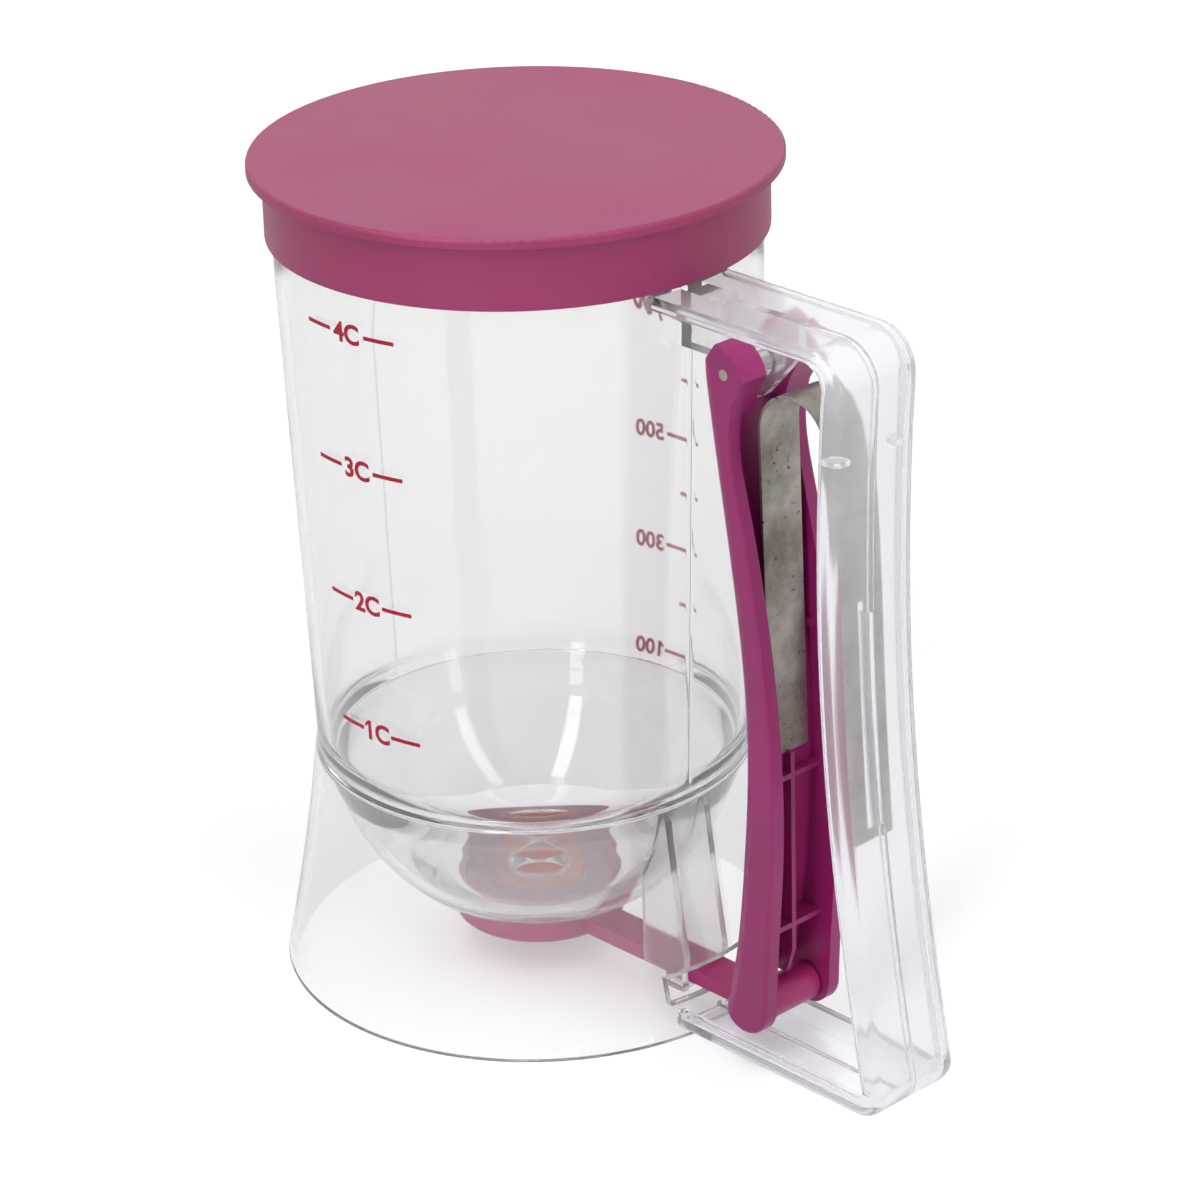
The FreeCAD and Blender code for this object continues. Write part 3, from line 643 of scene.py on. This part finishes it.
def makeTongue(body):
    # it stands in the back of the channel and passes through the strip's slot
    steps = lug["tongueSteps"]
    heights = [lug["tongueTop"] + (lug["tongueBottom"] - lug["tongueTop"]) * i / steps
               for i in range(steps + 1)]
    wall = [(barReach(h) - lug["tongueSink"], h) for h in heights]
    crest = [(barReach(h) - grip["wall"] - lug["tongueHeight"], h) for h in reversed(heights)]
    half = grip["spineHalf"] - 0.05
    combine(body, slab("tongue", wall + crest, -half, half), "UNION")


# tabs on both sides of the strip, which keep it in the channel under its bend
stopTabs = {"inside": 6.7, "outside": 10.8, "depth": 3.0, "bottom": 148.0, "height": 1.2,
            "sink": 1.0}


def makeStopTabs(body):
    low = stopTabs["bottom"]
    back = barReach(low) - grip["wall"] + stopTabs["sink"]
    front = back - stopTabs["sink"] - stopTabs["depth"]
    for side in (-1, 1):
        near, far = sorted((side * stopTabs["inside"], side * stopTabs["outside"]))
        combine(body, boxObject("stopTab", (front, near, low),
                                (back, far, low + stopTabs["height"])), "UNION")


# two fins under the bowl that guide the valve's arm, each with a lip under it
guides = {
    "inside": 4.85, "thick": 1.7, "reach": 39.8, "bottom": 11.6, "lipReach": 46.6,
    "lipTop": 9.2, "lipBottom": 7.9, "lipWidth": 2.4, "sink": 0.9, "top": 50.0,
    "bowlFrom": 38.0, "skirtFrom": 14.6, "windowTop": 14.5, "bowlSteps": 8,
}


def makeGuides(body):
    sink = guides["sink"]
    skirtSink = sink - 0.3
    bowlEdge = [(r - sink, z) for r, z in bowlSide(0, guides["bowlFrom"], guides["top"],
                                                   guides["bowlSteps"])]
    skirtEdge = [(r + skirtSink, z) for r, z in skirtSide(cup["skirtWall"], cup["skirtSteps"])
                 if guides["skirtFrom"] < z < guides["top"]]
    free = skirtEdge[-1][0] - skirtSink
    outline = [(guides["reach"], guides["bottom"])]
    start = [p for p in bowlEdge if p[0] > guides["reach"]]
    outline += [(guides["reach"], start[0][1])] + start + skirtEdge
    outline += [(free, guides["windowTop"]), (free + 0.4, guides["lipBottom"]),
                (guides["lipReach"], guides["lipBottom"]), (guides["lipReach"], guides["bottom"])]
    lipStart, lipFoot = guides["lipReach"] + 0.1, guides["lipBottom"] + 0.05
    lipOutline = [(lipStart, lipFoot), (free, lipFoot), (free, guides["lipTop"]),
                  (lipStart, guides["lipTop"])]
    for side in (-1, 1):
        near, far = side * guides["inside"], side * (guides["inside"] + guides["thick"])
        combine(body, slab("guidePlate", outline, min(near, far), max(near, far)), "UNION")
        near, far = side * (guides["inside"] - guides["lipWidth"]), side * (guides["inside"] + 0.3)
        combine(body, slab("guideLip", lipOutline, min(near, far), max(near, far)), "UNION")


def makeClearMoulding():
    body = lathe("clearMoulding", cupProfile(), (0.0, math.pi))
    cutter = boxObject("windowCutter", (window["inner"], -window["halfWidth"], window["sill"]),
                       (window["outer"], window["halfWidth"], window["top"]))
    combine(body, cutter, "DIFFERENCE")
    combine(body, makeGrip(), "UNION")
    makeLug(body)
    makeTongue(body)
    makeStopTabs(body)
    makeGuides(body)
    smooth(body, cup["sharpFrom"])
    paint(body, clearMaterial)
    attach(body, "dispenser_body")
    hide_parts("measuring_cup", "batter_bowl", "base_skirt", "valve_guides",
                "grip_handle", "hinge_lug")
    return body


moulding = makeClearMoulding()
print("clear moulding:", len(moulding.data.polygons), "faces")


# the bent strip: columns are where its width is divided, and the slot takes the middle one
spring = {
    "thickness": 0.6, "bendRadius": 9.2, "innerReach": 76.9, "innerEnd": (78.9, 74.0),
    "bendHeight": 148.0, "outerEnd": 61.5, "endGap": 5.6, "slant": 12, "slotTop": 114.0,
    "slotBottom": 63.5, "cornerMm": 0.48, "innerSteps": 30, "bendSteps": 28, "outerSteps": 38,
    "columns": (-5.7, -5.2, -3.2, -1.1, 1.1, 3.2, 5.2, 5.7), "slotColumn": 3, "sharpFrom": 30,
}


def springPath():
    # middle line (x, z) from the inner leg's free end over the bend and down the grip
    endX, endZ = spring["innerEnd"]
    center = spring["innerReach"] + spring["bendRadius"]
    points = []
    for i in range(spring["innerSteps"]):
        share = i / spring["innerSteps"]
        points.append((endX + (spring["innerReach"] - endX) * share,
                       endZ + (spring["bendHeight"] - endZ) * share))
    points += arcPoints(center, spring["bendHeight"], spring["bendRadius"], 180,
                        spring["slant"], spring["bendSteps"])
    fallX, fallZ = points[-1]
    endX = barReach(spring["outerEnd"]) - spring["endGap"]
    drop = fallZ - spring["outerEnd"]
    # leaves the bend on its slant and straightens towards the free end
    bow = math.tan(math.radians(spring["slant"])) - (endX - fallX) / drop
    for i in range(1, spring["outerSteps"] + 1):
        t = i / spring["outerSteps"]
        x = fallX + (endX - fallX) * t + bow * drop * t * (1 - t) ** 3
        points.append((x, fallZ - drop * t))
    return points


def makeSpring():
    path = springPath()
    half = spring["thickness"] / 2
    columns = spring["columns"]
    verts, faces = [], []
    count = len(columns)
    skins = []
    for side in (half, -half):
        skins.append(len(verts))
        for i, (x, z) in enumerate(path):
            before, after = path[max(0, i - 1)], path[min(len(path) - 1, i + 1)]
            along = Vector((after[0] - before[0], after[1] - before[1])).normalized()
            out = Vector((-along.y, along.x)) * side
            for y in columns:
                nudge = 0.0
                if y in (columns[0], columns[-1]) and i in (0, len(path) - 1):
                    nudge = spring["cornerMm"] * (1 if i == 0 else -1)
                verts.append(((x + out.x + along.x * nudge) * mm, y * mm,
                              (z + out.y + along.y * nudge) * mm))

    def inSlot(i, k):
        z = (path[i][1] + path[i + 1][1]) / 2
        isOuter = i > spring["innerSteps"] + spring["bendSteps"]
        isMiddle = k == spring["slotColumn"]
        return isOuter and isMiddle and spring["slotBottom"] < z < spring["slotTop"]

    solidCells = {(i, k) for i in range(len(path) - 1) for k in range(count - 1)
                  if not inSlot(i, k)}

    def corner(skin, i, k):
        return skins[skin] + i * count + k

    for i, k in solidCells:
        faces.append((corner(0, i, k), corner(0, i, k + 1), corner(0, i + 1, k + 1),
                      corner(0, i + 1, k)))
        faces.append((corner(1, i, k), corner(1, i + 1, k), corner(1, i + 1, k + 1),
                      corner(1, i, k + 1)))
        for di, dk, a, b in ((-1, 0, (0, 0), (0, 1)), (1, 0, (1, 0), (1, 1)),
                             (0, -1, (0, 0), (1, 0)), (0, 1, (0, 1), (1, 1))):
            if (i + di, k + dk) in solidCells:
                continue
            p, q = (i + a[0], k + a[1]), (i + b[0], k + b[1])
            faces.append((corner(0, *p), corner(0, *q), corner(1, *q), corner(1, *p)))
    strip = meshObject("leafSpringStrip", verts, faces)
    smooth(strip, spring["sharpFrom"])
    paint(strip, steelMaterial)
    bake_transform(strip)
    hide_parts("leaf_spring")


makeSpring()
print("leaf spring made")


finishes = {
    "lid": lidMaterial, "trigger": triggerMaterial, "valve_slide": valveMaterialPaintedBrighter,
    "pivot_pin": steelMaterial, "valve_seal": siliconeMaterial,
}
for nodeName, finish in finishes.items():
    paint(nodes[nodeName], finish)
print("finishes set on", len(finishes), "CAD nodes")


marks = {
    "film": 0.06, "lift": 0.03, "cupHeights": (70.2, 101.0, 132.3, 163.1), "cupTurn": -86.0,
    "cupSpan": 27.2, "dashMm": 7.6, "lineMm": 0.9, "cupText": 4.7, "dashSteps": 8,
    "tickSteps": 5,
    "mlHeights": (54.0, 67.1, 80.7, 94.4, 107.8, 121.9, 136.1),
    "mlTurn": 84.6, "longTickMm": 10.3, "shortTickMm": 6.0, "mlText": 4.2, "mlTextTurn": 102.0,
    # shares of the letters' height: the font's own size, how much bolder, and the 1's flag
    "fontSize": 1.3, "bolder": 0.04, "flagReach": 0.2, "flagDrop": 0.2, "flagDeep": 0.22,
    "flagTip": 0.37,
}


def wrap(flat, turn, height):
    # flat mesh in mm (x to the reader's right, y up, z out) onto the cup's outside
    for vertex in flat.vertices:
        x, y, out = vertex.co
        z = height + y
        radius = cupRadius(z) + marks["lift"] + out
        angle = math.radians(turn) + x / cupRadius(z)
        vertex.co = (radius * math.cos(angle) * mm, radius * math.sin(angle) * mm, z * mm)


def gridFilm(x0, x1, y0, y1, steps):
    # a thin flat bar with enough steps along x to bend round the cup
    verts, faces = [], []
    for i in range(steps + 1):
        x = x0 + (x1 - x0) * i / steps
        verts += [(x, y0, 0), (x, y1, 0), (x, y1, marks["film"]), (x, y0, marks["film"])]
    for i in range(steps):
        a = 4 * i
        for k in range(4):
            n = (k + 1) % 4
            faces.append((a + k, a + 4 + k, a + 4 + n, a + n))
    faces += [(0, 1, 2, 3), (4 * steps + 3, 4 * steps + 2, 4 * steps + 1, 4 * steps)]
    return verts, faces


def textFilm(text, size, centerX, centerY):
    curve = bpy.data.curves.new("markText", "FONT")
    curve.body = text
    curve.size = size * marks["fontSize"]
    curve.align_x = "CENTER"
    curve.align_y = "CENTER"
    curve.extrude = marks["film"] / 2
    curve.offset = size * marks["bolder"]
    curve.resolution_u = 5
    holder = bpy.data.objects.new("markText", curve)
    bpy.context.scene.collection.objects.link(holder)
    graph = bpy.context.evaluated_depsgraph_get()
    mesh = bpy.data.meshes.new_from_object(holder.evaluated_get(graph))
    bpy.data.objects.remove(holder)
    middleY = (max(v.co.y for v in mesh.vertices) + min(v.co.y for v in mesh.vertices)) / 2
    verts = [(v.co.x + centerX, v.co.y - middleY + centerY, v.co.z + marks["film"] / 2)
             for v in mesh.vertices]
    faces = [tuple(p.vertices) for p in mesh.polygons]
    bpy.data.meshes.remove(mesh)
    if text[0] == "1":
        addFlag(verts, faces, size)
    return verts, faces


def addFlag(verts, faces, size):
    # the font's 1 is a bare bar, so it gets the slanted flag of the printed one
    left = min(v[0] for v in verts)
    top = max(v[1] for v in verts if v[0] < left + 0.1 * size)
    bar, tip = left + 0.1, left - marks["flagReach"] * size
    outline = [(bar, top), (bar, top - marks["flagDeep"] * size),
               (tip, top - marks["flagTip"] * size), (tip, top - marks["flagDrop"] * size)]
    start = len(verts)
    verts += [(x, y, z) for z in (0.0, marks["film"]) for x, y in outline]
    faces += [tuple(start + i for i in (0, 1, 2, 3)), tuple(start + i for i in (7, 6, 5, 4))]
    faces += [tuple(start + i for i in (k, k + 4, (k + 1) % 4 + 4, (k + 1) % 4))
              for k in range(4)]


def printMark(name, films, turn, height):
    verts, faces = [], []
    for filmVerts, filmFaces in films:
        start = len(verts)
        verts += filmVerts
        faces += [tuple(i + start for i in face) for face in filmFaces]
    mesh = bpy.data.meshes.new(name)
    mesh.from_pydata(verts, [], faces)
    wrap(mesh, turn, height)
    obj = bpy.data.objects.new(name, mesh)
    bpy.context.scene.collection.objects.link(obj)
    paint(obj, inkMaterial)
    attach(obj, "dispenser_body")


def makeMarks():
    halfSpan = math.radians(marks["cupSpan"] / 2)
    half = marks["lineMm"] / 2
    for number, height in enumerate(marks["cupHeights"], 1):
        reach = halfSpan * cupRadius(height)
        inner = reach - marks["dashMm"]
        films = [gridFilm(-reach, -inner, -half, half, marks["dashSteps"]),
                 gridFilm(inner, reach, -half, half, marks["dashSteps"]),
                 textFilm(f"{number}C", marks["cupText"], 0, 0)]
        printMark(f"cupMark{number}", films, marks["cupTurn"], height)
    for number, height in enumerate(marks["mlHeights"], 1):
        isLong = number % 2 == 1
        length = marks["longTickMm"] if isLong else marks["shortTickMm"]
        films = [gridFilm(0, length, -half, half, marks["tickSteps"])]
        if isLong:
            offset = math.radians(marks["mlTextTurn"] - marks["mlTurn"]) * cupRadius(height)
            films.append(textFilm(str(number * 100), marks["mlText"], offset, 0))
        printMark(f"mlMark{number}00", films, marks["mlTurn"], height)


makeMarks()
print("measuring marks printed")


cameraLook = {
    "position": (0.6624, -0.6013, 0.4904), "right": (0.69268, 0.72081, -0.02494),
    "up": (-0.28280, 0.30325, 0.90997), "forward": (-0.66349, 0.62328, -0.41390), "lens": 133.2,
    "sensor": 36, "clip": (0.01, 20),
}
camera = bpy.data.objects.new("camera", bpy.data.cameras.new("camera"))
bpy.context.scene.collection.objects.link(camera)
cameraAxes = [Vector(cameraLook["right"]), Vector(cameraLook["up"]),
              -Vector(cameraLook["forward"])]
turned = Matrix(cameraAxes).transposed().to_4x4()
camera.matrix_world = Matrix.Translation(cameraLook["position"]) @ turned
camera.data.lens = cameraLook["lens"]
camera.data.sensor_width = cameraLook["sensor"]
camera.data.clip_start, camera.data.clip_end = cameraLook["clip"]
bpy.context.scene.camera = camera

studio = {
    "floorColour": "#F4F4F5", "floorShade": "#F2F2F3", "floorRadius": 6.0, "floorSides": 96,
    "floorDrop": 0.0002, "fibreScale": 900.0, "worldColour": "#FFFFFF", "worldLight": 0.38,
    "sideLow": 0.45, "sideHigh": 0.9, "ceiling": 0.7, "glowNear": 0.27, "glowFar": 0.7,
    "glowFrom": 0.2, "glowFull": 1.1, "glowColour": "#FFFFFF",
}


def makeFloor():
    # pale paper sweep, matt, with a trace of fibre; shows white to the camera and in glass
    material, tree = newMaterial("backdropPaperMatt")
    place = addNode(tree, "ShaderNodeTexCoord")
    fibre = addNode(tree, "ShaderNodeTexNoise", {"Scale": studio["fibreScale"]},
                    {"Vector": (place, "Object")})
    colour = rampStops(addNode(tree, "ShaderNodeValToRGB", None, {"Fac": (fibre, "Fac")}),
                       [(0.3, studio["floorShade"]), (0.7, studio["floorColour"])])
    paper = addNode(tree, "ShaderNodeBsdfDiffuse", None, {"Color": (colour, "Color")})
    path = addNode(tree, "ShaderNodeLightPath")
    seen = addNode(tree, "ShaderNodeMath", {"operation": "MAXIMUM"},
                   {0: (path, "Is Camera Ray"), 1: (path, "Is Transmission Ray")})
    # further out, where the lamps don't reach, the paper is kept as white as near by
    away = addNode(tree, "ShaderNodeVectorMath", {"operation": "LENGTH"},
                   {"Vector": (place, "Object")})
    glowShare = addNode(tree, "ShaderNodeMapRange", {
        "From Min": studio["glowFrom"], "From Max": studio["glowFull"],
        "To Min": studio["glowNear"], "To Max": studio["glowFar"]}, {"Value": (away, "Value")})
    lift = addNode(tree, "ShaderNodeMath", {"operation": "MULTIPLY"},
                   {0: (seen, 0), 1: (glowShare, "Result")})
    glow = addNode(tree, "ShaderNodeEmission", {"Color": hexColour(studio["glowColour"])},
                   {"Strength": (lift, 0)})
    both = addNode(tree, "ShaderNodeAddShader", None, {0: (paper, "BSDF"), 1: (glow, "Emission")})
    addNode(tree, "ShaderNodeOutputMaterial", None, {"Surface": (both, "Shader")})
    turns = [2 * math.pi * i / studio["floorSides"] for i in range(studio["floorSides"])]
    verts = [(studio["floorRadius"] * math.cos(t), studio["floorRadius"] * math.sin(t),
              -studio["floorDrop"]) for t in turns]
    floor = meshObject("floor", verts, [tuple(range(len(verts)))])
    paint(floor, material)


def makeWorld():
    world = bpy.data.worlds.new("studioWorld")
    world.use_nodes = True
    tree = world.node_tree
    tree.nodes.clear()
    path = addNode(tree, "ShaderNodeLightPath")
    seen = addNode(tree, "ShaderNodeMath", {"operation": "MAXIMUM"},
                   {0: (path, "Is Camera Ray"), 1: (path, "Is Glossy Ray")})
    seenToo = addNode(tree, "ShaderNodeMath", {"operation": "MAXIMUM"},
                      {0: (seen, 0), 1: (path, "Is Transmission Ray")})
    # gloss and glass see a white studio with a darker ceiling; the camera sees white
    place = addNode(tree, "ShaderNodeTexCoord")
    axes = addNode(tree, "ShaderNodeSeparateXYZ", None, {"Vector": (place, "Generated")})
    ceiling = addNode(tree, "ShaderNodeMapRange", {
        "From Min": studio["sideLow"], "From Max": studio["sideHigh"], "To Min": 1.0,
        "To Max": studio["ceiling"]}, {"Value": (axes, "Z")})
    shown = addNode(tree, "ShaderNodeMath", {"operation": "MAXIMUM"}, {
        0: (ceiling, "Result"), 1: (path, "Is Camera Ray")})
    strength = addNode(tree, "ShaderNodeMapRange", {"To Min": studio["worldLight"]},
                       {"Value": (seenToo, 0), "To Max": (shown, 0)})
    light = addNode(tree, "ShaderNodeBackground", {"Color": hexColour(studio["worldColour"])},
                    {"Strength": (strength, "Result")})
    addNode(tree, "ShaderNodeOutputWorld", None, {"Surface": (light, "Background")})
    bpy.context.scene.world = world


lamps = {
    "keyLeft": {"at": (0.42, -1.03, 0.95), "size": (0.22, 1.8), "watts": 7.5},
    "fillRight": {"at": (1.25, 0.12, 0.85), "size": (0.2, 1.8), "watts": 4.0},
    "topSoft": {"at": (0.0, 0.0, 1.5), "size": (1.0, 1.0), "watts": 7.5},
}
lampAim = Vector((0.03, 0, 0.09))


def makeLamps():
    for name, look in lamps.items():
        data = bpy.data.lights.new(name, "AREA")
        data.shape = "RECTANGLE"
        data.size, data.size_y = look["size"]
        data.energy = look["watts"]
        lamp = bpy.data.objects.new(name, data)
        lamp.location = look["at"]
        lamp.rotation_euler = (lampAim - lamp.location).to_track_quat("-Z", "Y").to_euler()
        bpy.context.scene.collection.objects.link(lamp)


makeFloor()
makeWorld()
makeLamps()
bpy.context.scene.view_settings.view_transform = "Standard"
# light turns many corners inside clear mouldings before it comes out again
cycles = bpy.context.scene.cycles
cycles.max_bounces = 20
cycles.glossy_bounces = 14
cycles.transmission_bounces = 20
print("studio set")
